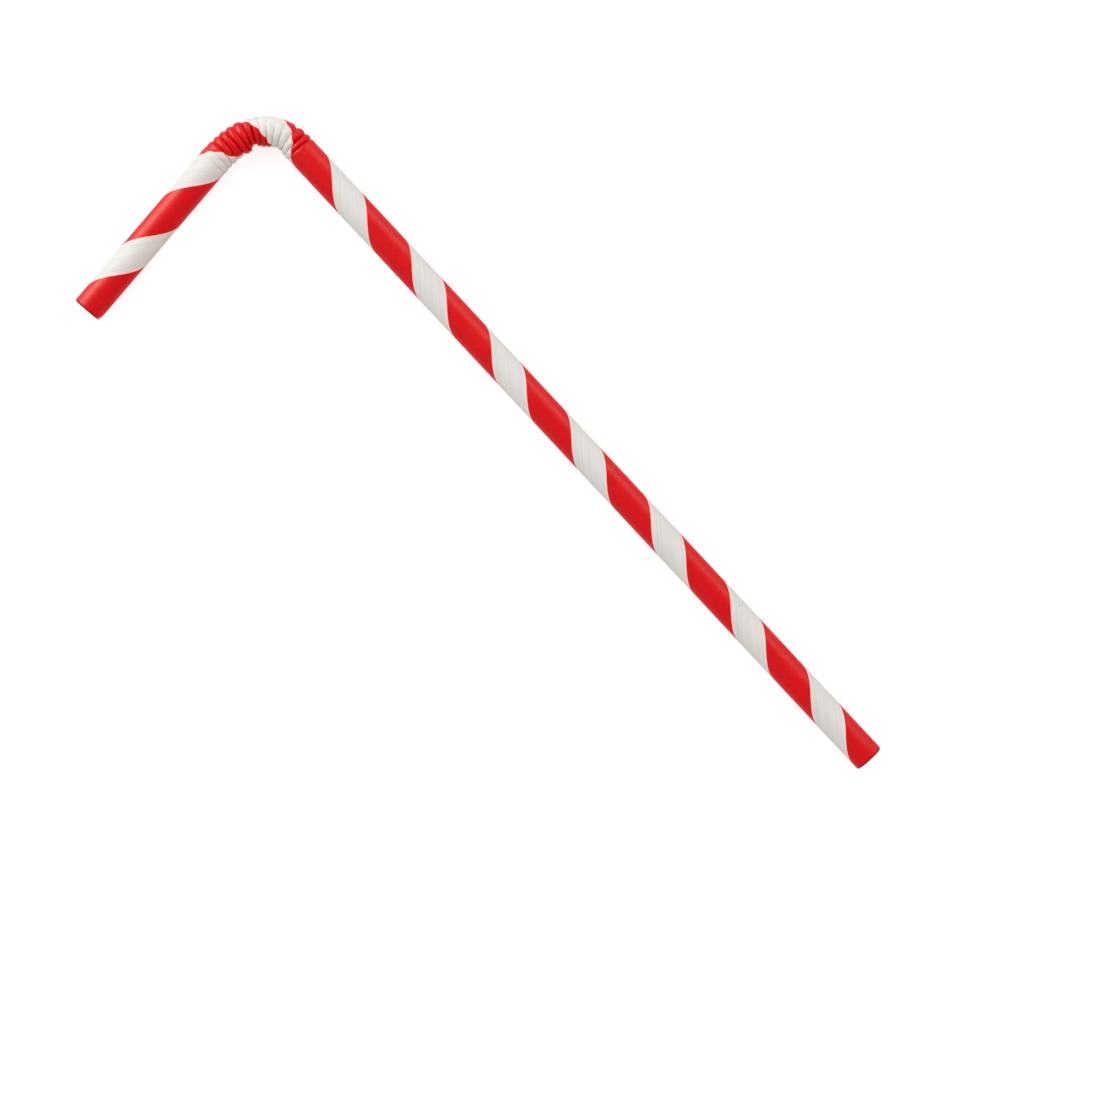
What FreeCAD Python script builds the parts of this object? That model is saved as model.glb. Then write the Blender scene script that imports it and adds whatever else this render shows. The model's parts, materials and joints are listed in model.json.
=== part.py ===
"""Bendy paper straw: one wound paper tube with a crimped, bent bellows between two straight arms.

It lies as it would on a table. The long arm runs along +X, the bend turns in the horizontal plane, and
the short mouth arm comes back along -Y. Millimetres; the origin is at the bottom centre of the whole.
"""
import FreeCAD, Part
import math
import os

# Paper tube
OUTER_DIAMETER = 6.0
PAPER_WALL = 0.4
MOUTH_ARM_LENGTH = 37.1  # from the mouth's cut end to the first groove
LONG_ARM_LENGTH = 159.2  # from the last groove to the lower cut end

# Bellows
PLEAT_COUNT = 14
PLEAT_PITCH = 1.37  # from groove to groove, on the centreline
PLEAT_DEPTH = 0.57  # at the sides, where a bend neither opens nor closes a pleat
DEPTH_PER_OPENING = 0.45  # depth that a pleat loses for each millimetre that it opens
FIRST_GROOVE_SHARE = 0.4  # of the full depth, in the groove beside the mouth arm
LAST_GROOVE_SHARE = 0.85  # of the full depth, in the groove beside the long arm
CRIMP_FADE = 3  # grooves over which the crimping comes in from the mouth arm
PLEAT_SWELL = 0.1  # how far the crests stand out from the tube, in the plane of the bend
SHOULDER_LENGTH = 0.75  # the rounded step from the plain tube down into an end groove

# Bend
BEND_ANGLE = 96.5  # degrees that the bellows turn the tube through
BEND_PEAK = 0.66  # place of the sharpest fold, as a share of the bellows from the mouth arm
BEND_SPREAD = 0.357  # how widely the folding is spread about that place, as a share of the bellows
BEND_PINCH = 0.25  # how far the inside of the sharpest fold is drawn in

# Buckles on the inside of the bend: places and spreads are counted in pleats from the mouth arm
BULGE_PLACE = 5.1
BULGE_HEIGHT = 0.3
BULGE_SPREAD = 0.9
KINK_PLACE = 6.75
KINK_DEPTH = 0.55
KINK_SPREAD = 0.7
SAG_PLACE = 11.2
SAG_DEPTH = 0.38
SAG_SPREAD = 1.1

UP = FreeCAD.Vector(0, 0, 1)
TUBE_RADIUS = OUTER_DIAMETER / 2
HALF_ROOT = math.sqrt(0.5)  # weight of a corner pole in a quarter of a circle or an ellipse
SEW_TOLERANCE = 1e-5
CREST_BANDS = 5  # straight bands that make up a pleat's round crest
SHOULDER_BANDS = 3


def fold_share(place):
    """How sharply the bellows fold at a place counted in pleats, as a share of the sharpest."""
    away = (place / PLEAT_COUNT - BEND_PEAK) / BEND_SPREAD
    return math.exp(-away * away / 2)


def fold_angles():
    """The angle in radians that each pleat turns the tube through, from the mouth arm on."""
    shares = [fold_share(pleat + 0.5) for pleat in range(PLEAT_COUNT)]
    return [math.radians(BEND_ANGLE) * share / sum(shares) for share in shares]


class Plane:
    """A flat cut across the tube: its centre, and its heading along the tube in the XY plane."""

    def __init__(self, centre, heading):
        self.centre = centre
        self.heading = heading
        self.along = FreeCAD.Vector(math.cos(heading), math.sin(heading), 0)
        self.outward = FreeCAD.Vector(-math.sin(heading), math.cos(heading), 0)

    def moved(self, distance):
        """The plane shifted along the tube."""
        return Plane(self.centre + self.along * distance, self.heading)

    def towards(self, other, share):
        """The plane fanned a share of the way to the next one."""
        centre = self.centre + (other.centre - self.centre) * share
        return Plane(centre, self.heading + (other.heading - self.heading) * share)


class Ring:
    """How far a surface stands from the centreline: outside the bend, inside the bend, and at the sides."""

    def __init__(self, outside, inside, sides):
        self.outside = outside
        self.inside = inside
        self.sides = sides

    def less(self, outside, inside, sides):
        """The ring with its three reaches taken in."""
        return Ring(self.outside - outside, self.inside - inside, self.sides - sides)

    def mixed(self, other, share):
        """The ring a share of the way to another one."""
        return Ring(
            self.outside + (other.outside - self.outside) * share,
            self.inside + (other.inside - self.inside) * share,
            self.sides + (other.sides - self.sides) * share,
        )

    def lined(self):
        """The inside of the paper, one wall in."""
        return self.less(PAPER_WALL, PAPER_WALL, PAPER_WALL)

    def poles(self, plane):
        """Nine poles of an ellipse in a plane, from the bottom of the tube and round by its outside."""
        middle = plane.centre + plane.outward * ((self.outside - self.inside) / 2)
        across = plane.outward * ((self.outside + self.inside) / 2)
        upright = UP * self.sides
        corners = [(0, -1), (1, -1), (1, 0), (1, 1), (0, 1), (-1, 1), (-1, 0), (-1, -1), (0, -1)]
        return [middle + across * a + upright * b for a, b in corners]


def band(start, end):
    """A straight-sided face round the tube, between two (ring, plane) pairs."""
    poles = [ring.poles(plane) for ring, plane in (start, end)]
    weights = [HALF_ROOT if i % 2 else 1.0 for i in range(9)]
    quarters = [0, 0.25, 0.5, 0.75, 1]
    surface = Part.BSplineSurface()
    surface.buildFromPolesMultsKnots(
        poles, [2, 2], [3, 2, 2, 2, 3], [0, 1], quarters, False, False, 1, 2, [weights, weights]
    )
    return surface.toShape()


def bands(stations):
    """The faces between each two neighbours of a list of (ring, plane) pairs."""
    return [band(start, end) for start, end in zip(stations, stations[1:])]


def tube_skin(radius, start, length):
    """A round tube's wall from a plane on, with its seam underneath."""
    body = Part.makeCylinder(radius, length)
    side = next(face for face in body.Faces if isinstance(face.Surface, Part.Cylinder))
    turn = FreeCAD.Rotation(-UP, start.outward, start.along, "ZXY")
    side.Placement = FreeCAD.Placement(start.centre, turn)
    return side


def cut_end(plane):
    """The flat ring of bare paper at a cut end."""
    outline = Part.Circle(plane.centre, plane.along, TUBE_RADIUS)
    bore = Part.Circle(plane.centre, plane.along, TUBE_RADIUS - PAPER_WALL)
    return Part.Face([Part.Wire(outline.toShape()), Part.Wire(bore.toShape())], "Part::FaceMakerBullseye")


def groove_planes():
    """The planes of the grooves, from the mouth arm to the long arm, which runs along +X."""
    heading = math.radians(BEND_ANGLE)
    planes = [Plane(FreeCAD.Vector(0, 0, 0), heading)]
    for fold in fold_angles():
        chord = planes[-1].heading - fold / 2
        step = FreeCAD.Vector(math.cos(chord), math.sin(chord), 0) * PLEAT_PITCH
        planes.append(Plane(planes[-1].centre + step, planes[-1].heading - fold))
    return planes


def buckle(place, centre, size, spread):
    """How much of a buckle's size reaches a place counted in pleats."""
    away = (place - centre) / spread
    return size * math.exp(-away * away)


def crest_ring(place):
    """The crests' reach at a place counted in pleats: the tube's own, swollen, pinched and buckled."""
    pinch = BEND_PINCH * fold_share(place) ** 4
    pinch += buckle(place, KINK_PLACE, KINK_DEPTH, KINK_SPREAD)
    pinch += buckle(place, SAG_PLACE, SAG_DEPTH, SAG_SPREAD)
    pinch -= buckle(place, BULGE_PLACE, BULGE_HEIGHT, BULGE_SPREAD)
    return Ring(TUBE_RADIUS + PLEAT_SWELL, TUBE_RADIUS + PLEAT_SWELL - pinch, TUBE_RADIUS)


def crimp_share(groove):
    """How deep a groove is crimped, as a share of the full depth."""
    if groove == PLEAT_COUNT:
        return LAST_GROOVE_SHARE
    return FIRST_GROOVE_SHARE + (1 - FIRST_GROOVE_SHARE) * min(groove / CRIMP_FADE, 1)


def groove_ring(groove):
    """The grooves' reach: shallower outside the bend, where pleats open, and deeper inside it."""
    folds = fold_angles()
    beside = folds[max(groove - 1, 0):groove + 1]
    opening = TUBE_RADIUS * sum(beside) / len(beside)
    shift = DEPTH_PER_OPENING * opening
    share = crimp_share(groove)
    return crest_ring(groove).less(
        share * (PLEAT_DEPTH - shift), share * (PLEAT_DEPTH + shift), share * PLEAT_DEPTH
    )


def arch(step, steps):
    """(share of the way along, share of the full height) at a step of a round arch that ends level."""
    angle = math.pi * step / steps
    crown = math.sin(math.pi * (steps // 2) / steps)
    return (1 - math.cos(angle)) / 2, math.sin(angle) / crown


def pleat_faces(planes):
    """The outer and the inner faces of every pleat: a round crest between two sharp grooves."""
    faces = []
    for pleat, (first, last) in enumerate(zip(planes, planes[1:])):
        valleys = groove_ring(pleat), groove_ring(pleat + 1)
        stations = []
        for step in range(CREST_BANDS + 1):
            along, height = arch(step, CREST_BANDS)
            valley = valleys[0].mixed(valleys[1], along)
            stations.append((valley.mixed(crest_ring(pleat + along), height), first.towards(last, along)))
        faces += bands(stations)
        liner = crest_ring(pleat + 0.5).lined(), first.towards(last, 0.5)
        faces += bands([(valleys[0].lined(), first), liner, (valleys[1].lined(), last)])
    return faces


def shoulder_faces(groove, groove_plane, tube_plane):
    """The outer and the inner faces of the rounded step from an end groove up to a plain arm."""
    tube = Ring(TUBE_RADIUS, TUBE_RADIUS, TUBE_RADIUS)
    valley = groove_ring(groove)
    stations = []
    for step in range(SHOULDER_BANDS + 1):
        angle = math.pi / 2 * step / SHOULDER_BANDS
        ring = valley.mixed(tube, math.sin(angle))
        stations.append((ring, groove_plane.towards(tube_plane, 1 - math.cos(angle))))
    return bands(stations) + bands([(valley.lined(), groove_plane), (tube.lined(), tube_plane)])


def arm_faces(start, length):
    """The outer and the inner wall of a plain arm."""
    return [tube_skin(TUBE_RADIUS, start, length), tube_skin(TUBE_RADIUS - PAPER_WALL, start, length)]


def make_straw():
    """The whole straw as one solid, lying on the XY plane, centred over the origin."""
    planes = groove_planes()
    mouth_shoulder = planes[0].moved(-SHOULDER_LENGTH)
    long_shoulder = planes[-1].moved(SHOULDER_LENGTH)
    mouth_end = planes[0].moved(-MOUTH_ARM_LENGTH)
    lower_end = planes[-1].moved(LONG_ARM_LENGTH)
    faces = pleat_faces(planes)
    faces += shoulder_faces(0, planes[0], mouth_shoulder)
    faces += shoulder_faces(PLEAT_COUNT, planes[-1], long_shoulder)
    faces += arm_faces(mouth_end, MOUTH_ARM_LENGTH - SHOULDER_LENGTH)
    faces += arm_faces(long_shoulder, LONG_ARM_LENGTH - SHOULDER_LENGTH)
    faces += [cut_end(mouth_end), cut_end(lower_end)]
    quilt = Part.Compound(faces)
    quilt.sewShape(SEW_TOLERANCE)
    straw = Part.Solid(quilt.Shells[0])
    straw.fix(SEW_TOLERANCE, SEW_TOLERANCE, SEW_TOLERANCE)
    box = straw.optimalBoundingBox(False, False)
    shift = FreeCAD.Vector(-box.Center.x, -box.Center.y, TUBE_RADIUS)
    straw.translate(shift)
    for name, plane in (("mouth end", mouth_end), ("lower end", lower_end), ("first groove", planes[0]),
                        ("last groove", planes[-1])):
        place = plane.centre + shift
        print(f"{name}: {place.x:.4f} {place.y:.4f} {place.z:.4f} heading {math.degrees(plane.heading):.2f}")
    return straw


straw = make_straw()
box = straw.optimalBoundingBox(False, False)
print(f"valid {straw.isValid()}, closed {straw.isClosed()}, {straw.Volume:.1f} mm3, {len(straw.Faces)} faces")
print(f"box {box.XMin:.3f} {box.YMin:.3f} {box.ZMin:.3f} to {box.XMax:.3f} {box.YMax:.3f} {box.ZMax:.3f}")
os.makedirs("parts", exist_ok=True)
straw.exportStep("parts/paper_straw.step")
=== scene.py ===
"""Dresses the bendy paper straw: the printed, crimped and bent paper tube, its floor, light and camera."""
import json
import logging
import math
from dataclasses import dataclass
from enum import Enum
from typing import Any, ClassVar, Iterator

import bpy
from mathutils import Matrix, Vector, noise


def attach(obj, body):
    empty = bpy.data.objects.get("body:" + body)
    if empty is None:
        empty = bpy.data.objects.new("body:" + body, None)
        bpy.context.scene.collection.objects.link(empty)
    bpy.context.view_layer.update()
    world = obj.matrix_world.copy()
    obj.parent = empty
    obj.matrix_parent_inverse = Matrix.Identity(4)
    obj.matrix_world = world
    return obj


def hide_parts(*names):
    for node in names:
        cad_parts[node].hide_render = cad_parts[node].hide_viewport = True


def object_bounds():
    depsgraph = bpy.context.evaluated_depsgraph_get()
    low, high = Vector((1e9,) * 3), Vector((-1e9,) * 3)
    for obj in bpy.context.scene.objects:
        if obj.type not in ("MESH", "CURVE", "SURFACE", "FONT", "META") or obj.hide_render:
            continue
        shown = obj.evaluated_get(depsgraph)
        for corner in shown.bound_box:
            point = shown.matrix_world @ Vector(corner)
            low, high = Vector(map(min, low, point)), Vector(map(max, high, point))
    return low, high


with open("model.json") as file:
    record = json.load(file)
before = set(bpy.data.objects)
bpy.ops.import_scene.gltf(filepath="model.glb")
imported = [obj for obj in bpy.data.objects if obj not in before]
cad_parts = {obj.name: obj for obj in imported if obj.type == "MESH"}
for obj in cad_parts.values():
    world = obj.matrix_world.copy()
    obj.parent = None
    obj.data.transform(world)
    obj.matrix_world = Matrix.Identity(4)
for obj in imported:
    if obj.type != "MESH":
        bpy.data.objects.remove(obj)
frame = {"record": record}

CAD_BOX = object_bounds()
LOG = logging.getLogger("straw")

MM = 0.001
UP = Vector((0.0, 0.0, 1.0))
TURN = 2 * math.pi
Colour = tuple[float, float, float]


def linear(value: int) -> float:
    """The linear strength of a display value from 0 to 255, by the sRGB formula."""
    share = value / 255
    return share / 12.92 if share <= 0.04045 else ((share + 0.055) / 1.055) ** 2.4


def srgb(red: int, green: int, blue: int) -> Colour:
    """The linear colour of three display values from 0 to 255."""
    return linear(red), linear(green), linear(blue)


# ---- The paper's shape ----

@dataclass(frozen=True)
class Plane:
    """A flat cut across the tube.

    Attributes:
        centre: The tube's middle there.
        heading: The tube's direction in the XY plane, in radians, from the mouth on.
    """

    centre: Vector
    heading: float

    @property
    def along(self) -> Vector:
        """The tube's direction."""
        return Vector((math.cos(self.heading), math.sin(self.heading), 0.0))

    @property
    def outward(self) -> Vector:
        """The direction towards the outside of the bend."""
        return Vector((-math.sin(self.heading), math.cos(self.heading), 0.0))

    def moved(self, distance: float) -> "Plane":
        """The plane shifted along the tube."""
        return Plane(self.centre + self.along * distance, self.heading)

    def towards(self, other: "Plane", share: float) -> "Plane":
        """The plane fanned a share of the way to the next one."""
        heading = self.heading + (other.heading - self.heading) * share
        return Plane(self.centre.lerp(other.centre, share), heading)


@dataclass(frozen=True)
class Reach:
    """How far the paper stands from the tube's middle.

    Angles round the tube start at the outside of the bend and go up.

    Attributes:
        outside: Towards the outside of the bend.
        inside: Towards the inside of the bend.
        sides: Up and down.
    """

    outside: float
    inside: float
    sides: float

    @classmethod
    def even(cls, radius: float) -> "Reach":
        """The reach of a round tube."""
        return cls(radius, radius, radius)

    def less(self, outside: float, inside: float, sides: float) -> "Reach":
        """The reach with each of its sizes taken in."""
        return Reach(self.outside - outside, self.inside - inside, self.sides - sides)

    def mixed(self, other: "Reach", share: float) -> "Reach":
        """The reach a share of the way to another one."""
        pairs = (self.outside, other.outside), (self.inside, other.inside), (self.sides, other.sides)
        return Reach(*(start + (end - start) * share for start, end in pairs))

    def point(self, plane: Plane, angle: float) -> Vector:
        """A point of the ring of this reach.

        Args:
            plane: The plane that the ring lies in.
            angle: Angle round the tube.

        Returns:
            The point, in the part's frame.
        """
        middle, across = (self.outside - self.inside) / 2, (self.outside + self.inside) / 2
        out = plane.outward * (middle + across * math.cos(angle))
        return plane.centre + out + UP * (self.sides * math.sin(angle))


class Layer(Enum):
    """The faces of the paper, by the material slot that each takes."""

    PRINT = 0
    LINING = 1
    CUT = 2


@dataclass(frozen=True)
class Station:
    """One ring of the paper's skin.

    Attributes:
        plane: Where it lies.
        crest: Its reach where the paper stands highest.
        length: How far it is from the mouth's cut end, measured on the flat paper.
        layer: The layer that it belongs to.
        valley: The reach of the grooves beside it, or None on a plain arm.
        rise: Its height between the groove, at 0, and the crest, at 1.
        pleat: Its place in the bellows, counted in pleats from the first groove.
        loose: How much of the bellows' unevenness reaches it.
    """

    plane: Plane
    crest: Reach
    length: float
    layer: Layer
    valley: Reach | None = None
    rise: float = 1.0
    pleat: float = 0.0
    loose: float = 1.0


@dataclass(frozen=True)
class Patch:
    """A change of the paper that is strongest at one place of the bellows and fades on both sides of it.

    Places count pleats from the first groove, here and in what follows.

    Attributes:
        place: Where it is strongest.
        spread: How many pleats away it has faded to about a third.
        outside: Its size on the outside of the bend.
        top: Its size on the top and on the underside.
        inside: Its size on the inside of the bend.
    """

    place: float
    spread: float
    outside: float
    top: float
    inside: float

    def at(self, place: float, angle: float) -> float:
        """Its size at a point of the bellows.

        Args:
            place: The point's place.
            angle: Angle round the tube.

        Returns:
            The size there.
        """
        away, side = (place - self.place) / self.spread, math.cos(angle)
        lean, bow = (self.outside - self.inside) / 2, (self.outside + self.inside) / 2 - self.top
        return math.exp(-away * away) * (self.top + lean * side + bow * side * side)


@dataclass(frozen=True)
class Bellows:
    """The crimped and bent stretch of the tube, with even pleats. Lengths are in metres.

    Attributes:
        radius: Outside radius of the tube.
        turn: The angle that it turns the tube through.
        pleats: How many pleats it has.
        pitch: From groove to groove, on the centreline.
        full_fold: Paper in a pleat between two grooves of full depth.
        depth: Depth of the grooves at the tube's sides.
        depth_per_opening: Depth that a pleat loses for each metre that it opens.
        first_groove: Depth of the groove beside the mouth arm, as a share of the full depth.
        last_groove: Depth of the groove beside the long arm, as a share of the full depth.
        crimp_fade: Grooves over which the crimping comes in from the mouth arm.
        swell: How far the crests stand out from the tube, in the plane of the bend.
        shoulder: Length of the rounded step from the plain tube down into an end groove.
        peak: Place of the sharpest fold, as a share of the bellows from the mouth arm.
        spread: How widely the folding is spread about that place.
        pinch: How far the inside of the sharpest fold is drawn in.
        pinch_focus: How closely that keeps to the sharpest fold, as a power.
        buckles: Where the inside bulges, kinks and sags, as how far it is drawn in.
    """

    radius: float
    turn: float
    pleats: int = 14
    pitch: float = 1.37 * MM
    full_fold: float = 2.074 * MM
    depth: float = 0.57 * MM
    depth_per_opening: float = 0.45
    first_groove: float = 0.4
    last_groove: float = 0.85
    crimp_fade: int = 3
    swell: float = 0.09 * MM
    shoulder: float = 0.75 * MM
    peak: float = 0.66
    spread: float = 0.357
    pinch: float = 0.25 * MM
    pinch_focus: int = 4
    buckles: tuple[Patch, ...] = (
        Patch(5.1, 0.9, 0.0, 0.0, -0.3 * MM),
        Patch(6.75, 0.7, 0.0, 0.0, 0.55 * MM),
        Patch(11.2, 1.1, 0.0, 0.0, 0.38 * MM),
    )

    @property
    def paper_length(self) -> float:
        """The bellows' length on the flat paper."""
        return self.paper_before(self.pleats)

    def pleat_paper(self, number: int) -> float:
        """Paper in one pleat: the shallower its grooves, the less it takes up."""
        crimp = (self.crimp(number) + self.crimp(number + 1)) / 2
        return self.pitch + (self.full_fold - self.pitch) * crimp

    def paper_before(self, place: float) -> float:
        """Paper between the first groove and a place."""
        whole = min(int(place), self.pleats - 1)
        return sum(map(self.pleat_paper, range(whole))) + (place - whole) * self.pleat_paper(whole)

    def fold_share(self, place: float) -> float:
        """How sharply the bellows fold at a place, as a share of the sharpest."""
        away = (place / self.pleats - self.peak) / self.spread
        return math.exp(-away * away / 2)

    def folds(self) -> list[float]:
        """The angle that each pleat turns the tube through, from the mouth on."""
        shares = [self.fold_share(pleat + 0.5) for pleat in range(self.pleats)]
        return [self.turn * share / sum(shares) for share in shares]

    def grooves(self, last: Plane) -> list[Plane]:
        """The grooves' planes, from the mouth on.

        Args:
            last: The plane of the groove beside the long arm.

        Returns:
            One plane more than there are pleats.
        """
        planes = [last]
        for fold in reversed(self.folds()):
            chord = planes[0].heading + fold / 2
            step = Vector((math.cos(chord), math.sin(chord), 0.0)) * self.pitch
            planes.insert(0, Plane(planes[0].centre - step, planes[0].heading + fold))
        return planes

    def crest(self, place: float) -> Reach:
        """The crests' reach at a place."""
        side = self.radius + self.swell
        return Reach(side, side - self.drawn_in(place), self.radius)

    def drawn_in(self, place: float) -> float:
        """How far the inside of the bend is drawn in at a place."""
        pinched = self.pinch * self.fold_share(place) ** self.pinch_focus
        return pinched + sum(buckle.at(place, math.pi) for buckle in self.buckles)

    def crimp(self, groove: int) -> float:
        """How deep a groove is, as a share of the full depth."""
        deeper = self.first_groove + (1 - self.first_groove) * min(groove / self.crimp_fade, 1)
        return self.last_groove if groove == self.pleats else deeper

    def valley(self, groove: int) -> Reach:
        """A groove's reach: shallower outside the bend, where pleats open, and deeper inside it.

        Args:
            groove: The groove's number.

        Returns:
            The reach of the paper at the groove's bottom.
        """
        beside = self.folds()[max(groove - 1, 0):groove + 1]
        shift = self.depth_per_opening * self.radius * sum(beside) / len(beside)
        share = self.crimp(groove)
        return self.crest(groove).less(
            share * (self.depth - shift), share * (self.depth + shift), share * self.depth
        )


@dataclass(frozen=True)
class Grain:
    """Smooth noise on the tube's surface.

    Attributes:
        size: How far it goes to either side of its middle.
        fineness: How quickly it changes round the tube.
        pace: How quickly it changes along the tube, for each pleat.
        start: Where the first groove lies in it.
        middle: Its middle, as a share of its size.
    """

    size: float
    fineness: float
    pace: float
    start: float = 0.0
    middle: float = 0.0

    def at(self, place: float, angle: float) -> float:
        """Its value at a place and an angle round the tube."""
        across, up = self.fineness * math.cos(angle), self.fineness * math.sin(angle)
        return self.size * (self.middle + noise.noise(Vector((across, up, place * self.pace + self.start))))


@dataclass(frozen=True)
class Creases:
    """The fine creases on the inside of the bend.

    Attributes:
        depth: Their full depth, in metres.
        middle: Where they are deepest.
        spread: How far from there they reach.
        flatness: How evenly deep they stay within that, as a power.
        lean: How far round the tube they lean from the inside of the bend, in radians.
        margin: How far from the tube's side they end, as a share of its radius.
        rounding: How quickly they come in from there, as a power.
        per_pleat: How many there are in a pleat.
        width: Half the width of one, as a share of the distance between two.
        sway: How far they stray along the tube, as a share of that distance.
        vary: How much of the full depth they have.
    """

    depth: float = 0.20 * MM
    middle: float = 7.6
    spread: float = 4.6
    flatness: int = 4
    lean: float = 0.25
    margin: float = 0.05
    rounding: float = 0.7
    per_pleat: int = 2
    width: float = 0.28
    sway: Grain = Grain(0.6, 1.1, 0.7)
    vary: Grain = Grain(0.8, 1.7, 1.9, 2.2, 0.75)

    def at(self, place: float, angle: float) -> float:
        """How deep the creases are at a point of the bellows.

        Args:
            place: The point's place.
            angle: Angle round the tube.

        Returns:
            The depth there.
        """
        inner = max(-math.cos(angle + self.lean) - self.margin, 0.0) ** self.rounding
        middle = math.exp(-((place - self.middle) / self.spread) ** self.flatness)
        way = (place * self.per_pleat + 0.5 + self.sway.at(place, angle)) % 1.0
        fold = max(1 - abs(way - 0.5) / self.width, 0.0) * max(self.vary.at(place, angle), 0.0)
        return self.depth * inner * middle * fold


@dataclass(frozen=True)
class Crumple:
    """The unevenness that hand bending leaves in the bellows. Lengths are in metres.

    Attributes:
        pleats: How many pleats the bellows have.
        slips: Where the paper has moved along the tube, towards the long arm.
        presses: Where the grooves are pressed deeper, as a share of their depth, or shallower.
        dents: Where the paper is pushed in.
        tucks: Where more paper has gone into the grooves, as paper length, until they give it back.
        wander: How far a groove strays from a flat ring.
        ripple: How far the paper stands in from its even shape.
        creases: The fine creases on the inside of the bend.
        tight: How sharp the grooves are pressed on the inside of the bend, where 1 is a round crest.
        open: The same on the outside.
        closed: How much shallower the grooves are where the pleats press together inside the bend.
        closed_focus: How closely that keeps to the very inside, as a power.
        uneven: How much of their depth the grooves have.
    """

    pleats: int
    slips: tuple[Patch, ...] = (
        Patch(0.0, 1.0, -0.18 * MM, -0.18 * MM, -0.18 * MM),
        Patch(2.3, 1.3, 0.0, 0.0, -0.40 * MM),
        Patch(4.7, 1.2, -0.20 * MM, 0.17 * MM, 0.52 * MM),
        Patch(12.9, 1.5, 0.52 * MM, 0.38 * MM, 0.22 * MM),
    )
    presses: tuple[Patch, ...] = (
        Patch(0.2, 1.5, -0.95, -0.35, 0.9),
        Patch(2.1, 0.5, 0.0, 0.5, 0.4),
        Patch(4.5, 1.5, -0.2, 0.0, 0.2),
        Patch(6.7, 1.3, 0.0, 0.45, -0.1),
        Patch(9.8, 2.6, -1.0, -0.6, -0.1),
        Patch(11.9, 0.4, 0.6, 0.1, 0.0),
        Patch(13.1, 0.6, 0.3, 0.5, -0.7),
        Patch(14.0, 0.5, 0.2, 0.2, -0.5),
    )
    dents: tuple[Patch, ...] = (Patch(6.4, 0.6, 0.0, 0.04 * MM, 0.22 * MM),)
    tucks: tuple[Patch, ...] = (Patch(2.4, 1.6, 0.0, 0.55 * MM, 1.7 * MM),)
    wander: Grain = Grain(0.12 * MM, 1.6, 0.8, 3.7)
    ripple: Grain = Grain(0.06 * MM, 2.6, 1.5, -3.7, 0.5)
    creases: Creases = Creases()
    tight: float = 0.6
    open: float = 2.2
    closed: float = 0.5
    closed_focus: int = 4
    uneven: Grain = Grain(0.5, 1.3, 1.37, 9.1, 2.0)

    def fade(self, place: float) -> float:
        """How freely the paper strays at a place: not at all beside the arms."""
        return math.sqrt(math.sin(math.pi * min(max(place / self.pleats, 0.0), 1.0)))

    def along(self, place: float, angle: float) -> float:
        """How far the paper has moved towards the long arm at a place."""
        slip = sum(patch.at(place, angle) for patch in self.slips)
        return slip + self.wander.at(place, angle) * self.fade(place)

    def tucked(self, place: float, angle: float) -> float:
        """Paper that has gone into the grooves before a place."""
        return sum(patch.at(place, angle) for patch in self.tucks)

    def share(self, station: Station, angle: float) -> float:
        """How far a point stands from the groove, at 0, towards the crest, at 1.

        Args:
            station: The point's ring, in the bellows.
            angle: Angle round the tube.

        Returns:
            The share, with the groove's own sharpness and depth in it.
        """
        inner = (1 - math.cos(angle)) / 2
        sharp = self.open + (self.tight - self.open) * inner
        depth = 1 + sum(patch.at(station.pleat, angle) for patch in self.presses)
        depth *= 1 - self.closed * max(-math.cos(angle), 0.0) ** self.closed_focus
        depth *= self.uneven.at(round(station.pleat), angle)
        return 1 - depth * (1 - station.rise ** sharp)

    def inwards(self, place: float, angle: float) -> float:
        """How far the paper is dented in at a place, never outwards."""
        dent = self.ripple.at(place, angle) * self.fade(place) + self.creases.at(place, angle)
        return max(dent + sum(patch.at(place, angle) for patch in self.dents), 0.0)


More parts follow.
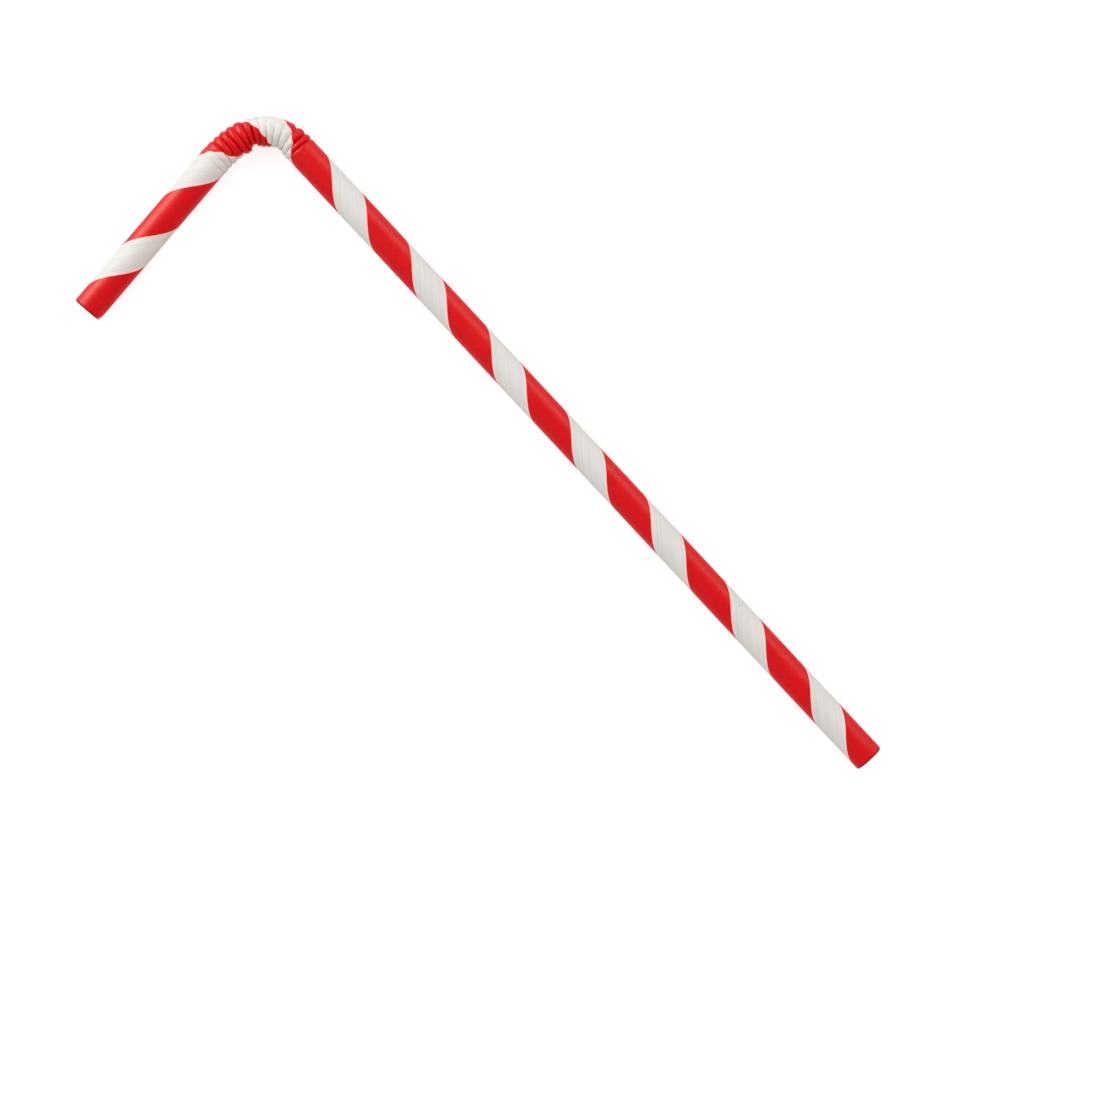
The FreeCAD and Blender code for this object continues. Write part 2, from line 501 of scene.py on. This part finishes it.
@dataclass
class PaperStraw:
    """The one piece: a wound paper tube with plain arms and crimped bellows, printed with a stripe.

    Attributes:
        lower_end: Middle of the long arm's cut end.
        mouth_end: Middle of the mouth arm's cut end.
        plain_long_arm: Length of the long arm's round stretch.
        radius: Outside radius of the tube.
        wall: Thickness of the paper.
        bellows: The crimped stretch.
        crumple: The unevenness of the bellows.
        around: How many faces there are round the tube.
        pleat_rings: Rings in the printed side of each pleat.
        lining_rings: Rings in the inner side of each pleat.
        arm_step: Distance between the rings of a plain arm.
        lip: How far a cut end's outer edge is pressed in.
        draw: How far back from the cut that reaches.
        squeeze: How far the wall's inner side is drawn in there.
        burr: Radius of the cut's inner edge.
        edge_rings: Rings in each rounded edge of a cut end.
        smooth: The steepest edge of the mesh that is shaded smooth, in degrees.
        merge: The gap under which the mesh's meeting edges are merged.
    """

    lower_end: Plane
    mouth_end: Plane
    plain_long_arm: float
    radius: float
    wall: float
    bellows: Bellows
    crumple: Crumple
    around: int = 96
    pleat_rings: int = 16
    lining_rings: int = 8
    arm_step: float = 2.0 * MM
    lip: float = 0.31 * MM
    draw: float = 0.55 * MM
    squeeze: float = 0.15 * MM
    burr: float = 0.07 * MM
    edge_rings: int = 4
    smooth: float = 60.0
    merge: float = 1e-7

    @classmethod
    def from_record(cls, record: dict[str, Any]) -> "PaperStraw":
        """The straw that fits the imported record's three mounts.

        Args:
            record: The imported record.

        Returns:
            The straw, before it has a mesh.
        """
        mounts = {mount["name"]: mount for mount in record["mounts"]}
        shaft, bore, mouth = (mounts[name] for name in ("lid_shaft", "lower_bore", "mouth_bore"))
        radius = shaft["dims"]["r_mm"] * MM
        way_in = -Vector(mouth["axis"])
        turn = math.atan2(way_in.y, way_in.x)
        bellows = Bellows(radius, turn)
        return cls(
            lower_end=Plane(Vector(shaft["pos_m"]), 0.0),
            mouth_end=Plane(Vector(mouth["pos_m"]), turn),
            plain_long_arm=shaft["dims"]["length_mm"] * MM,
            radius=radius,
            wall=radius - bore["dims"]["r_mm"] * MM,
            bellows=bellows,
            crumple=Crumple(bellows.pleats),
        )

    @property
    def grooves(self) -> list[Plane]:
        """The grooves' planes, carried by the long arm."""
        return self.bellows.grooves(self.lower_end.moved(-self.plain_long_arm - self.bellows.shoulder))

    @property
    def mouth_arm(self) -> float:
        """From the mouth's cut end to the first groove."""
        return (self.grooves[0].centre - self.mouth_end.centre).length

    @property
    def flat_length(self) -> float:
        """The flat paper's length from cut end to cut end."""
        return self.mouth_arm + self.bellows.paper_length + self.bellows.shoulder + self.plain_long_arm

    def arm(self, start: Plane, span: float, length: float) -> Iterator[Station]:
        """The rings of a plain arm.

        Args:
            start: The arm's first plane.
            span: How long it is.
            length: Paper length at its start.

        Yields:
            Rings of the printed side, without the last.
        """
        count = max(round(span / self.arm_step), 1)
        for step in range(count):
            way = span * step / count
            yield Station(start.moved(way), Reach.even(self.radius), length + way, Layer.PRINT)

    def shoulder(self, tube: Plane, groove: Plane, number: int, length: float) -> list[Station]:
        """The rings of the rounded step between a plain arm and an end groove.

        Args:
            tube: The plane where the plain arm ends.
            groove: The groove's plane.
            number: The groove's number, which is 0 where the step falls into it.
            length: Paper length where the step starts.

        Returns:
            Rings of the printed side, without the last.
        """
        rings = []
        steps = self.pleat_rings // 2
        for step in range(steps):
            angle = math.pi / 2 * (1 - step / steps if number == 0 else step / steps)
            near = math.cos(angle)
            way = self.bellows.shoulder * step / steps
            rings.append(Station(
                groove.towards(tube, 1 - near), Reach.even(self.radius), length + way, Layer.PRINT,
                self.bellows.valley(number), math.sin(angle), float(number), near,
            ))
        return rings

    def pleat(self, number: int, planes: list[Plane], length: float) -> Iterator[Station]:
        """The rings of one pleat's printed side: a round crest between two sharp grooves.

        Args:
            number: The pleat's number.
            planes: The grooves' planes.
            length: Paper length at its first groove.

        Yields:
            Rings, without the last.
        """
        bellows = self.bellows
        valleys = bellows.valley(number), bellows.valley(number + 1)
        for step in range(self.pleat_rings):
            angle = math.pi * step / self.pleat_rings
            along = (1 - math.cos(angle)) / 2
            yield Station(
                planes[number].towards(planes[number + 1], along), bellows.crest(number + along),
                length + bellows.pleat_paper(number) * step / self.pleat_rings, Layer.PRINT,
                valleys[0].mixed(valleys[1], along), math.sin(angle), number + along,
            )

    def printed_side(self) -> list[Station]:
        """The rings of the printed side, from the mouth to the lower end.

        Returns:
            Rings from one cut end's rounded edge to the other's.
        """
        bellows, planes, mouth_arm = self.bellows, self.grooves, self.mouth_arm
        plain = mouth_arm - bellows.shoulder
        rings = list(self.arm(self.mouth_end.moved(self.draw), plain - self.draw, self.draw))
        rings += self.shoulder(self.mouth_end.moved(plain), planes[0], 0, plain)
        for number in range(bellows.pleats):
            rings += self.pleat(number, planes, mouth_arm + bellows.paper_before(number))
        length = mouth_arm + bellows.paper_length
        start = planes[-1].moved(bellows.shoulder)
        rings += self.shoulder(start, planes[-1], bellows.pleats, length)
        rings += self.arm(start, self.plain_long_arm - self.draw, length + bellows.shoulder)
        return rings

    def lining(self) -> list[Station]:
        """The rings of the inner side, from the lower end back to the mouth.

        Returns:
            Rings from one cut end's inner edge to the other's.
        """
        bellows, planes, mouth_arm = self.bellows, self.grooves, self.mouth_arm
        bore = Reach.even(self.radius - self.wall)
        walls = (self.wall, self.wall, self.wall)
        rings = []
        count = round(mouth_arm / self.arm_step)
        for step in range(count):
            way = self.draw + (mouth_arm - bellows.shoulder - self.draw) * step / (count - 1)
            rings.append(Station(self.mouth_end.moved(way), bore, way, Layer.LINING))
        for turn in range(bellows.pleats * self.lining_rings + 1):
            place = turn / self.lining_rings
            number = min(int(place), bellows.pleats - 1)
            along = place - number
            rings.append(Station(
                planes[number].towards(planes[number + 1], along), bellows.crest(place).less(*walls),
                mouth_arm + bellows.paper_before(place), Layer.LINING,
                bellows.valley(number).mixed(bellows.valley(number + 1), along).less(*walls),
                math.sin(math.pi * along), place,
            ))
        length = mouth_arm + bellows.paper_length
        count = round(self.plain_long_arm / self.arm_step)
        for step in range(count):
            way = bellows.shoulder + (self.plain_long_arm - self.draw) * step / (count - 1)
            rings.append(Station(planes[-1].moved(way), bore, length + way, Layer.LINING))
        return rings[::-1]

    def cut_end(self, end: Plane, length: float, outwards: float) -> list[Station]:
        """The rings of a cut end, with softened edges, from the printed side to the lining.

        Args:
            end: The plane of the cut.
            length: Paper length there.
            outwards: 1 where the tube ends, and -1 where it starts.

        Returns:
            The printed ply's rounded edge, then bare paper down to the lining.
        """
        outer, inner = self.radius - self.lip, self.radius - self.wall - self.squeeze + self.burr
        count = self.edge_rings
        layers = [Layer.PRINT] * count + [Layer.CUT] * (count - 1) + [Layer.LINING]
        outer_edge, inner_edge = (outer, self.lip, self.draw), (inner, self.burr, self.burr)
        rings = []
        for number, layer in enumerate(layers):
            angle = math.pi / 2 * (number % count / (count - 1) + number // count)
            middle, edge, deep = outer_edge if number < count else inner_edge
            reach, back = middle + edge * math.cos(angle), deep * (1 - math.sin(angle))
            plane = end.moved(-outwards * back)
            rings.append(Station(plane, Reach.even(reach), length - outwards * back, layer))
        return rings

    def stations(self) -> list[Station]:
        """Every ring of the paper's skin.

        Returns:
            Print, lower cut, lining and mouth cut, in a closed loop that ends with its first ring.
        """
        printed, lining = self.printed_side(), self.lining()
        lower = self.cut_end(self.lower_end, self.flat_length, 1.0)
        mouth = self.cut_end(self.mouth_end, 0.0, -1.0)[::-1]
        loop = printed[1:] + lower + lining + mouth
        return loop + loop[:1]

    def angle(self, column: int) -> float:
        """The angle round the tube of a column of the mesh, which starts on the underside."""
        return TURN * (column / self.around - 0.25)

    def paper_length(self, station: Station, angle: float) -> float:
        """How far a point of a ring is from the mouth's cut end, measured on the flat paper."""
        tucked = 0.0 if station.valley is None else self.crumple.tucked(station.pleat, angle)
        return station.length + tucked * station.loose

    def place(self, station: Station, angle: float) -> Vector:
        """Where a point of a ring lies.

        Args:
            station: The ring.
            angle: Angle round the tube.

        Returns:
            The point, in the part's frame.
        """
        if station.valley is None:
            return station.crest.point(station.plane, angle)
        dent = self.crumple.inwards(station.pleat, angle) * station.loose
        share = self.crumple.share(station, angle)
        reach = station.valley.mixed(station.crest, share).less(dent, dent, dent)
        plane = station.plane.moved(self.crumple.along(station.pleat, angle) * station.loose)
        return reach.point(plane, angle)

    def roll(self, mesh: bpy.types.Mesh, stations: list[Station]) -> None:
        """Rolls a flat grid, one unit wide and long, into the straw.

        Args:
            mesh: The grid, with a column for each face round the tube and a row for each ring.
            stations: The rings, in the rows' order.
        """
        rows = len(stations) - 1
        spots = [(round((v.co.x + 0.5) * self.around), round((v.co.y + 0.5) * rows)) for v in mesh.vertices]
        paper = mesh.uv_layers.active
        paper.name = "paper"
        for loop in mesh.loops:
            column, row = spots[loop.vertex_index]
            length = self.paper_length(stations[row], self.angle(column))
            paper.data[loop.index].uv = (column / self.around, length / StripePrint.pitch)
        for face in mesh.polygons:
            row = min(spots[v][1] for v in face.vertices)
            here, beyond = stations[row].layer, stations[row + 1].layer
            face.material_index = (here if here is beyond else Layer.CUT).value
        for vertex, (column, row) in zip(mesh.vertices, spots):
            vertex.co = self.place(stations[row], self.angle(column))

    def build(self) -> bpy.types.Object:
        """The finished mesh of the whole straw.

        Returns:
            The object, with its printed side, lining and cut ends as separate material slots.
        """
        stations = self.stations()
        counts = {"x_subdivisions": self.around, "y_subdivisions": len(stations) - 1}
        bpy.ops.object.select_all(action="DESELECT")
        bpy.ops.mesh.primitive_grid_add(size=1.0, calc_uvs=True, **counts)
        straw = bpy.context.object
        straw.name = "striped_paper_tube"
        self.roll(straw.data, stations)
        bpy.ops.object.mode_set(mode="EDIT")
        bpy.ops.mesh.select_all(action="SELECT")
        bpy.ops.mesh.remove_doubles(threshold=self.merge)
        bpy.ops.mesh.normals_make_consistent(inside=False)
        bpy.ops.object.mode_set(mode="OBJECT")
        bpy.ops.object.shade_smooth_by_angle(angle=math.radians(self.smooth))
        return straw


# ---- Shader writing ----

class Wire:
    """A number that leaves a shader node. Sums on it add Math nodes."""

    def __init__(self, sheet: "Sheet", socket: bpy.types.NodeSocket) -> None:
        """Wraps a socket of a sheet's tree."""
        self.sheet = sheet
        self.socket = socket

    def __add__(self, other: "Number") -> "Wire":
        """Sum."""
        return self.sheet.math("ADD", self, other)

    __radd__ = __add__

    def __sub__(self, other: "Number") -> "Wire":
        """Difference."""
        return self.sheet.math("SUBTRACT", self, other)

    def __rsub__(self, other: "Number") -> "Wire":
        """Difference from a plain number."""
        return self.sheet.math("SUBTRACT", other, self)

    def __mul__(self, other: "Number") -> "Wire":
        """Product."""
        return self.sheet.math("MULTIPLY", self, other)

    __rmul__ = __mul__

    def step(self, low: float, high: float) -> "Wire":
        """A soft rise from 0 at low to 1 at high, level on both sides."""
        sockets = {"Value": self, "From Min": low, "From Max": high}
        return self.sheet.wire("ShaderNodeMapRange", "Result", {"interpolation_type": "SMOOTHSTEP"}, sockets)


Number = float | Wire


class Sheet:
    """A node tree of a material or of the world."""

    # A Mix node's inputs for the share and for the two colours, and its output for a colour, by number
    MIX_INPUTS: ClassVar[tuple[int, int, int]] = (0, 6, 7)
    MIX_COLOUR: ClassVar[int] = 2

    def __init__(self, name: str, kind: str = "materials") -> None:
        """Starts an empty tree.

        Args:
            name: The new material's or world's name.
            kind: Which of Blender's lists it belongs to, "materials" or "worlds".
        """
        self.owner = getattr(bpy.data, kind).new(name)
        self.owner.use_nodes = True
        self.tree = self.owner.node_tree
        self.tree.nodes.clear()

    def node(self, kind: str, settings: dict[str, Any], sockets: dict[Any, Any]) -> bpy.types.Node:
        """Adds a node.

        Args:
            kind: The node's type.
            settings: Its settings, such as a Math node's operation, set before its sockets.
            sockets: A value, a colour or a link for each named or numbered input.

        Returns:
            The node.
        """
        node = self.tree.nodes.new(kind)
        for name, value in settings.items():
            setattr(node, name, value)
        for name, value in sockets.items():
            socket = node.inputs[name]
            if isinstance(value, Wire):
                self.tree.links.new(value.socket, socket)
            elif isinstance(value, bpy.types.NodeSocket):
                self.tree.links.new(value, socket)
            else:
                socket.default_value = (*value, 1.0) if socket.type == "RGBA" else value
        return node

    def wire(self, kind: str, output: str, settings: dict[str, Any], sockets: dict[Any, Any]) -> Wire:
        """Adds a node and gives one of its outputs as a number."""
        return Wire(self, self.node(kind, settings, sockets).outputs[output])

    def math(self, operation: str, *values: Number) -> Wire:
        """Adds a Math node."""
        return self.wire("ShaderNodeMath", "Value", {"operation": operation}, dict(enumerate(values)))

    def mix(self, share: Number, start: Any, end: Any) -> bpy.types.NodeSocket:
        """Mixes a share of the second colour into the first, each a plain colour or a link."""
        sockets = dict(zip(self.MIX_INPUTS, (share, start, end)))
        return self.node("ShaderNodeMix", {"data_type": "RGBA"}, sockets).outputs[self.MIX_COLOUR]

    def place(self) -> bpy.types.NodeSocket:
        """The place on the object, in metres."""
        return self.node("ShaderNodeTexCoord", {}, {}).outputs["Object"]

    def grain(self, where: bpy.types.NodeSocket, scale: float, detail: float, rough: float = 0.5) -> Wire:
        """Noise from 0 to 1 at a scale."""
        sockets = {"Vector": where, "Scale": scale, "Detail": detail, "Roughness": rough}
        return self.wire("ShaderNodeTexNoise", "Fac", {}, sockets)

    def bump(self, height: Wire, distance: float, **under: bpy.types.NodeSocket) -> bpy.types.NodeSocket:
        """A bump of a height from 0 to 1, over the distance that 1 stands for, on the Normal given."""
        sockets = {"Height": height, "Distance": distance, **under}
        return self.node("ShaderNodeBump", {}, sockets).outputs["Normal"]

    def surface(self, sockets: dict[str, Any]) -> bpy.types.ID:
        """Ends a material with a Principled shader of the sockets given."""
        return self.finish(self.node("ShaderNodeBsdfPrincipled", {}, sockets).outputs[0])

    def finish(self, shader: bpy.types.NodeSocket, output: str = "ShaderNodeOutputMaterial") -> bpy.types.ID:
        """Ends the tree with a shader and gives the material or the world."""
        self.node(output, {}, {"Surface": shader})
        return self.owner


# ---- Finishes ----

@dataclass(frozen=True)
class StripePrint:
    """The outer ply: white paper with a broad red stripe along the winding, and a satin finish.

    Widths across the stripe are shares of the pitch.

    Attributes:
        paper_length: The flat paper's length from cut end to cut end.
        pitch: How far along the tube the stripe comes round again.
        red_share: The red's share of the pitch.
        first_red: Paper length from the mouth's cut end to a red's middle, on the top of the tube.
        top: The share of a turn, from the underside, at which the top lies.
        red: The ink.
        deep_red: The ink where it lies thickest.
        ink_mottle: How much of that comes in soft patches, and along the fibres.
        white: The bare ground.
        warm_white: The ground where it is dull.
        ground_mottle: How much of that comes in the ply's lines, and along the fibres.
        line_scale: How quickly the lines change from one to the next, and along the winding.
        bleed: The white beside the red, where a little ink has crept.
        bleed_width: How wide that border is.
        bleed_full: The share of the border that has the whole of that colour.
        bleed_strength: How much of it the ground takes on.
        softness: How wide the change from white to red is.
        waver: How far the red's edge wavers.
        fray: How far it frays.
        painted_end_shade: Painted shade that darkens the print along each cut end, where the paper turns in.
        painted_end_shade_width: How far that painted shade reaches along the tube, in metres.
        painted_end_shade_strength: How much of it the white takes on, and the red.
        ply_seam: Where the ply's edges meet, as a share of the pitch from the red's middle.
        seam_width: Half the width of the seam's bottom, and of the whole seam.
        rough: Roughness of the ink, and of the ground.
        rough_grain: How much both vary.
    """

    pitch: ClassVar[float] = 22.163 * MM
    paper_length: float
    red_share: float = 0.5615
    first_red: float = 2.25 * MM
    top: float = 0.5
    red: Colour = srgb(229, 3, 18)
    deep_red: Colour = srgb(206, 1, 14)
    ink_mottle: tuple[float, float] = (0.45, 0.35)
    white: Colour = srgb(235, 235, 233)
    warm_white: Colour = srgb(217, 215, 211)
    ground_mottle: tuple[float, float] = (0.5, 0.3)
    line_scale: tuple[float, float] = (11.0, 0.35)
    bleed: Colour = srgb(255, 226, 216)
    bleed_width: float = 0.024
    bleed_full: float = 0.8
    bleed_strength: float = 0.85
    softness: float = 0.0016
    waver: float = 0.004
    fray: float = 0.0016
    # Painted shade for the cut ends: its colour, how far it reaches, and how strongly it darkens the white
    # and the red.
    painted_end_shade: Colour = srgb(104, 34, 32)
    painted_end_shade_width: float = 0.55 * MM
    painted_end_shade_strength: tuple[float, float] = (0.25, 0.75)
    ply_seam: float = 0.36
    seam_width: tuple[float, float] = (0.0008, 0.0035)
    rough: tuple[float, float] = (0.40, 0.65)
    rough_grain: float = 0.08

    def material(self) -> bpy.types.Material:
        """The printed side's material.

        Returns:
            The material.
        """
        sheet = Sheet("striped_print")
        uv = sheet.node("ShaderNodeUVMap", {"uv_map": "paper"}, {}).outputs["UV"]
        split = sheet.node("ShaderNodeSeparateXYZ", {}, {0: uv})
        around, along = Wire(sheet, split.outputs["X"]), Wire(sheet, split.outputs["Y"])
        place = sheet.place()
        turn = along - around + (self.top - self.first_red / self.pitch)
        waver = sheet.grain(place, scale=700.0, detail=2.0) * self.waver
        fray = sheet.grain(place, scale=7000.0, detail=1.0) * self.fray
        start = (self.red_share - self.waver - self.fray) / 2
        phase = sheet.math("FRACT", turn + (waver + fray) + start)
        rise = phase.step(0.0, self.softness)
        fall = phase.step(self.red_share - self.softness, self.red_share)
        red = rise * (1 - fall)

        fineness, pace = self.line_scale
        x, y = (sheet.math(kind, turn * TURN) * fineness for kind in ("COSINE", "SINE"))
        winding = sheet.node("ShaderNodeCombineXYZ", {}, {"X": x, "Y": y, "Z": along * pace}).outputs[0]
        lines = sheet.grain(winding, scale=1.0, detail=3.0, rough=0.6)
        fibres = sheet.grain(place, scale=5200.0, detail=3.0, rough=0.65)
        clouds = sheet.grain(place, scale=900.0, detail=3.0)

        in_patches, in_fibres = self.ink_mottle
        thick = clouds.step(low=0.3, high=0.7) * in_patches + fibres * in_fibres
        ink = sheet.mix(thick, self.red, self.deep_red)
        in_lines, in_fibres = self.ground_mottle
        dull = lines.step(low=0.38, high=0.68) * in_lines + fibres * in_fibres
        ground = sheet.mix(dull, self.white, self.warm_white)
        width, full = self.bleed_width, self.bleed_width * self.bleed_full
        before = phase.step(1 - width, 1 - full)
        beyond = 1 - phase.step(self.red_share + full, self.red_share + width)
        ground = sheet.mix((before + beyond) * self.bleed_strength, ground, self.bleed)
        colour = sheet.mix(red, ground, ink)

        # Painted shade: the print is darkened towards both cut ends, where the paper turns in.
        reach, whole = self.painted_end_shade_width / self.pitch, self.paper_length / self.pitch
        painted_end_shade = 1 - along.step(0.0, reach) + along.step(whole - reach, whole)
        on_white, on_red = self.painted_end_shade_strength
        colour = sheet.mix(painted_end_shade * (on_white + red * (on_red - on_white)), colour, self.painted_end_shade)

        from_seam = sheet.math("ABSOLUTE", sheet.math("FRACT", turn + (0.5 - self.ply_seam)) - 0.5)
        bump = sheet.bump(lines, distance=0.05 * MM)
        bump = sheet.bump(from_seam.step(*self.seam_width), distance=0.03 * MM, Normal=bump)
        bump = sheet.bump(fibres, distance=0.012 * MM, Normal=bump)
        of_ink, of_ground = self.rough
        rough = of_ink + (1 - red) * (of_ground - of_ink) + (fibres + lines - 0.5) * self.rough_grain
        gloss = {"Roughness": rough, "Normal": bump, "IOR": 1.48, "Specular IOR Level": 0.16}
        return sheet.surface({"Base Color": colour, **gloss})


@dataclass(frozen=True)
class RawPaper:
    """Matte paper without print, with fibres and soft patches.

    Attributes:
        name: The material's name.
        pale: Its palest colour.
        dull: Its dullest colour.
        mottle: How much of that lies along the fibres, and in patches.
        fibre: Scale and detail of the fibres.
        patch: Scale of the patches.
        relief: How far the fibres stand out.
        rough: The least and the most roughness.
        patch_edge: The noise at which a patch starts and is full, or None where it has no edge.
    """

    name: str
    pale: Colour
    dull: Colour
    mottle: tuple[float, float]
    fibre: tuple[float, float]
    patch: float
    relief: float
    rough: tuple[float, float]
    patch_edge: tuple[float, float] | None = None

    def material(self) -> bpy.types.Material:
        """The paper's material.

        Returns:
            The material.
        """
        sheet = Sheet(self.name)
        place = sheet.place()
        fibres = sheet.grain(place, *self.fibre, rough=0.7)
        patches = sheet.grain(place, self.patch, detail=2.0)
        if self.patch_edge is not None:
            patches = patches.step(*self.patch_edge)
        in_fibres, in_patches = self.mottle
        colour = sheet.mix(fibres * in_fibres + patches * in_patches, self.pale, self.dull)
        least, most = self.rough
        rough = least + fibres * (most - least)
        bump = sheet.bump(fibres, self.relief)
        return sheet.surface({"Base Color": colour, "Roughness": rough, "Normal": bump})


INNER_PLY = RawPaper(
    "bare_paper", pale=srgb(236, 233, 226), dull=srgb(222, 217, 206), mottle=(0.6, 0.4),
    fibre=(3800.0, 4.0), patch=500.0, relief=0.03 * MM, rough=(0.72, 0.88),
)
# Its dull patches are glue
CUT_EDGE = RawPaper(
    "cut_paper", pale=srgb(226, 220, 208), dull=srgb(176, 166, 150), mottle=(0.5, 0.4),
    fibre=(6000.0, 3.0), patch=900.0, relief=0.05 * MM, rough=(0.85, 0.95), patch_edge=(0.4, 0.8),
)


# ---- Floor, light and camera ----

@dataclass(frozen=True)
class Lamp:
    """A soft square lamp.

    Attributes:
        name: The lamp's name.
        azimuth: Its direction in the view, in degrees from the right and anticlockwise.
        elevation: Its height over the table top, in degrees.
        away: How far it is from the middle of the view.
        size: Side of the square.
        power: Watts.
        tint: Colour of the light.
        sheen: Whether it shows in the gloss alone, as a reflecting card does.
    """

    name: str
    azimuth: float
    elevation: float
    away: float
    size: float
    power: float
    tint: Colour
    sheen: bool = False


@dataclass(frozen=True)
class Studio:
    """A white table top under soft light, seen from straight above.

    Attributes:
        lower_end: Middle of the long arm's cut end.
        roll: How far the view's right-hand side is turned from +X, in degrees.
        frame_width: Width of the view at the tube's middle height.
        aim: Middle of the view, from the middle of the long arm's cut end.
        distance: Height of the camera above the tube's middle.
        sight: How far the camera sees.
        floor_size: Side of the table top.
        floor_paint: How pale the table top is.
        floor_white: Strength of the white that is added to the table top's look.
        window: Direction in the view that most light comes from, in degrees as for the lamps.
        sky_bright: The sky on the window's side.
        sky_dim: The sky on the other side.
        overhead: The sky overhead.
        lamps: The lamps.
    """

    lower_end: Vector
    roll: float = 46.95
    frame_width: float = 209.52 * MM
    aim: tuple[float, float] = (-70.63 * MM, -17.31 * MM)
    distance: float = 0.75
    sight: float = 10.0
    floor_size: float = 3.0
    floor_paint: float = 0.5
    floor_white: float = 0.72
    window: float = 139.0
    sky_bright: Colour = (0.90, 0.92, 0.93)
    sky_dim: Colour = (0.82, 0.66, 0.59)
    overhead: Colour = (0.48, 0.48, 0.48)
    lamps: tuple[Lamp, ...] = (
        Lamp("key", 139.0, 22.0, 0.7, 0.24, 1.3, (1.0, 0.99, 0.95)),
        Lamp("side", 50.0, 28.0, 0.8, 0.20, 1.0, (0.96, 1.0, 1.01)),
        Lamp("key_card", 139.0, 20.0, 0.7, 0.40, 10.0, (1.0, 0.93, 0.77), True),
        Lamp("side_card", 50.0, 26.0, 0.8, 0.45, 3.9, (1.0, 0.94, 0.80), True),
    )

    @property
    def middle(self) -> Vector:
        """The point that the camera looks at."""
        return self.lower_end + Vector((*self.aim, 0.0))

    def towards(self, azimuth: float, elevation: float) -> Vector:
        """A direction given in the view, as the lamps' directions are."""
        turn, rise = math.radians(azimuth + self.roll), math.radians(elevation)
        return Vector((math.cos(turn) * math.cos(rise), math.sin(turn) * math.cos(rise), math.sin(rise)))

    def floor(self) -> None:
        """Adds the white table top."""
        bpy.ops.object.select_all(action="DESELECT")
        bpy.ops.mesh.primitive_plane_add(size=self.floor_size, location=(0.0, 0.0, CAD_BOX[0].z))
        floor = bpy.context.object
        floor.name = "table_top"
        sheet = Sheet("table_top")
        rays = sheet.node("ShaderNodeLightPath", {}, {})
        camera, glossy, through = (
            Wire(sheet, rays.outputs[f"Is {kind} Ray"]) for kind in ("Camera", "Glossy", "Transmission")
        )
        seen = sheet.math("MAXIMUM", sheet.math("MAXIMUM", camera, glossy), through)
        paint = sheet.node("ShaderNodeBsdfDiffuse", {}, {"Color": (self.floor_paint,) * 3}).outputs[0]
        white = {"Color": (1.0, 1.0, 1.0), "Strength": self.floor_white}
        glow = sheet.node("ShaderNodeEmission", {}, white).outputs[0]
        bright = sheet.node("ShaderNodeAddShader", {}, {0: paint, 1: glow}).outputs[0]
        mix = sheet.node("ShaderNodeMixShader", {}, {0: seen, 1: paint, 2: bright})
        floor.data.materials.append(sheet.finish(mix.outputs[0]))

    def sky(self) -> None:
        """Adds the light from all round: brightest on the window's side, and dim overhead."""
        sheet = Sheet("studio_sky", "worlds")
        way = sheet.node("ShaderNodeTexCoord", {}, {}).outputs["Generated"]
        sides = {0: way, 1: self.towards(self.window, 0.0)}
        side = sheet.wire("ShaderNodeVectorMath", "Value", {"operation": "DOT_PRODUCT"}, sides)
        height = Wire(sheet, sheet.node("ShaderNodeSeparateXYZ", {}, {0: way}).outputs["Z"])
        colour = sheet.mix(side.step(low=-0.9, high=0.5), self.sky_dim, self.sky_bright)
        colour = sheet.mix(height.step(low=0.7, high=1.0), colour, self.overhead)
        light = sheet.node("ShaderNodeBackground", {}, {"Color": colour}).outputs[0]
        bpy.context.scene.world = sheet.finish(light, "ShaderNodeOutputWorld")

    def light(self) -> None:
        """Adds the lamps."""
        for lamp in self.lamps:
            data = bpy.data.lights.new(lamp.name, "AREA")
            data.shape, data.size, data.energy, data.color = "SQUARE", lamp.size, lamp.power, lamp.tint
            body = bpy.data.objects.new(lamp.name, data)
            bpy.context.scene.collection.objects.link(body)
            towards = self.towards(lamp.azimuth, lamp.elevation)
            body.location = self.middle + towards * lamp.away
            body.rotation_euler = towards.to_track_quat("Z", "Y").to_euler()
            body.visible_diffuse = not lamp.sheen

    def camera(self) -> None:
        """Adds the camera, straight above."""
        data = bpy.data.cameras.new("camera")
        data.lens = data.sensor_width * self.distance / self.frame_width
        data.clip_end = self.sight
        camera = bpy.data.objects.new("camera", data)
        bpy.context.scene.collection.objects.link(camera)
        camera.location = self.middle + UP * self.distance
        camera.rotation_euler = (0.0, 0.0, math.radians(self.roll))
        bpy.context.scene.camera = camera
        bpy.context.scene.view_settings.view_transform = "Standard"


def main() -> None:
    """Builds the straw, dresses it and sets the studio."""
    logging.basicConfig(level=logging.INFO, format="%(message)s")
    straw = PaperStraw.from_record(frame["record"])
    studio = Studio(straw.lower_end.centre)
    studio.camera()
    piece = straw.build()
    for finish in (StripePrint(straw.flat_length), INNER_PLY, CUT_EDGE):
        piece.data.materials.append(finish.material())
    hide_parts("paper_straw")
    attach(piece, "root")
    LOG.info("%s: %d faces", piece.name, len(piece.data.polygons))
    studio.floor()
    studio.sky()
    studio.light()


if __name__ == "__main__":
    main()
